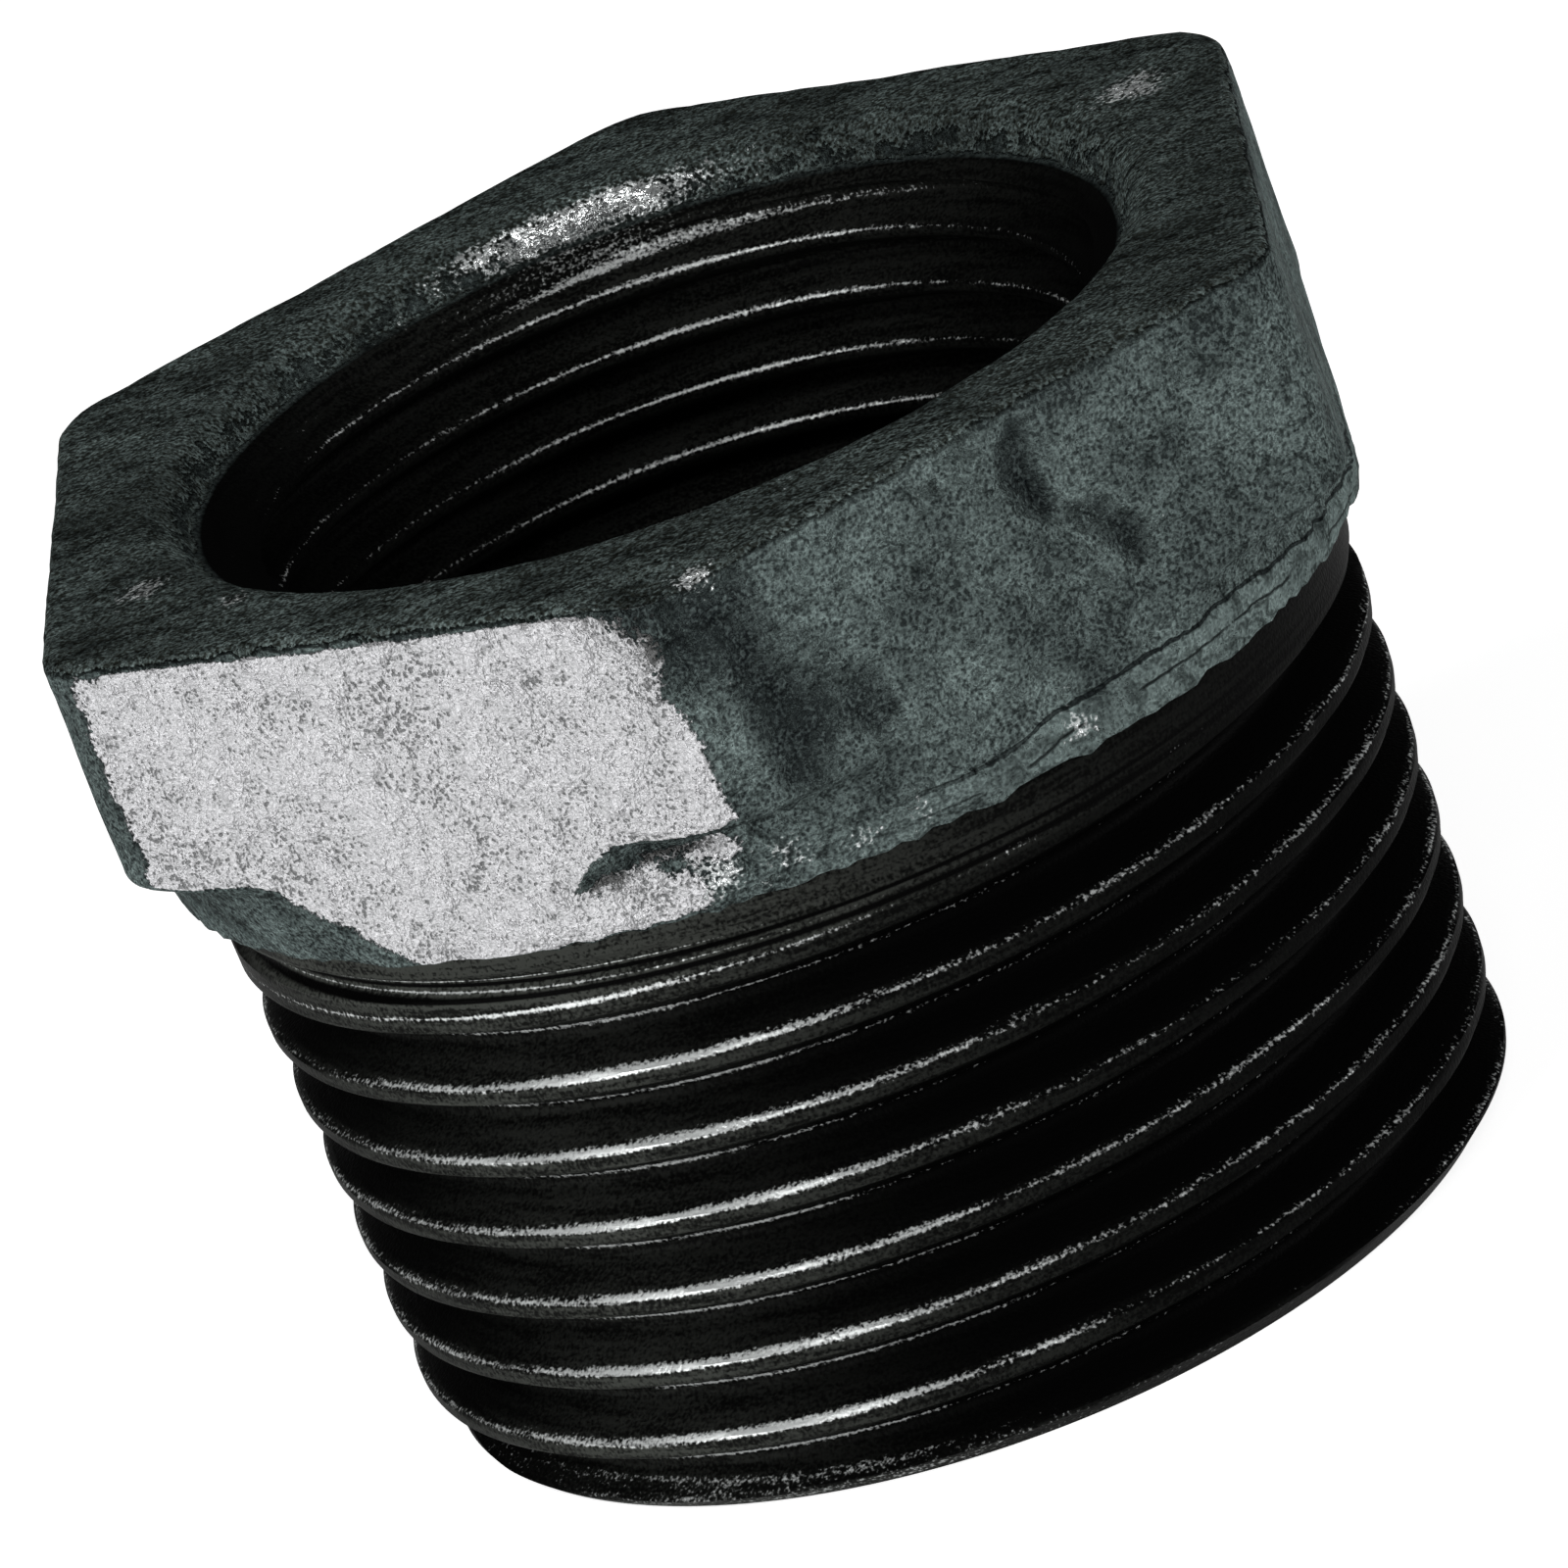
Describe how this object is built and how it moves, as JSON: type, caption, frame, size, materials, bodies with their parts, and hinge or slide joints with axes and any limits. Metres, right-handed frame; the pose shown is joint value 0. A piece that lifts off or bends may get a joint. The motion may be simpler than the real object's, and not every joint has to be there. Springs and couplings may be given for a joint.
{
  "type": "hexagon reducing bushing",
  "caption": "Hexagon reducing bushing in black malleable iron: male taper pipe thread outside, smaller female pipe thread right through, cast hexagon head over a round collar.",
  "frame": {"origin": "centre of the lower end face, on the axis both threads share", "axes": "+Z along the thread axis, from the male thread's small end towards the hexagon's top face; two opposite corners of the hexagon lie on the X axis, so two flats face +Y and -Y"},
  "size_m": [0.0402, 0.0354, 0.0285],
  "materials": {
    "iron": "black malleable iron, rough as cast on the hexagon and collar, dark and lightly oiled on the cut threads"
  },
  "bodies": {
    "root": {"hex_bushing": "iron"}
  },
  "joints": []
}
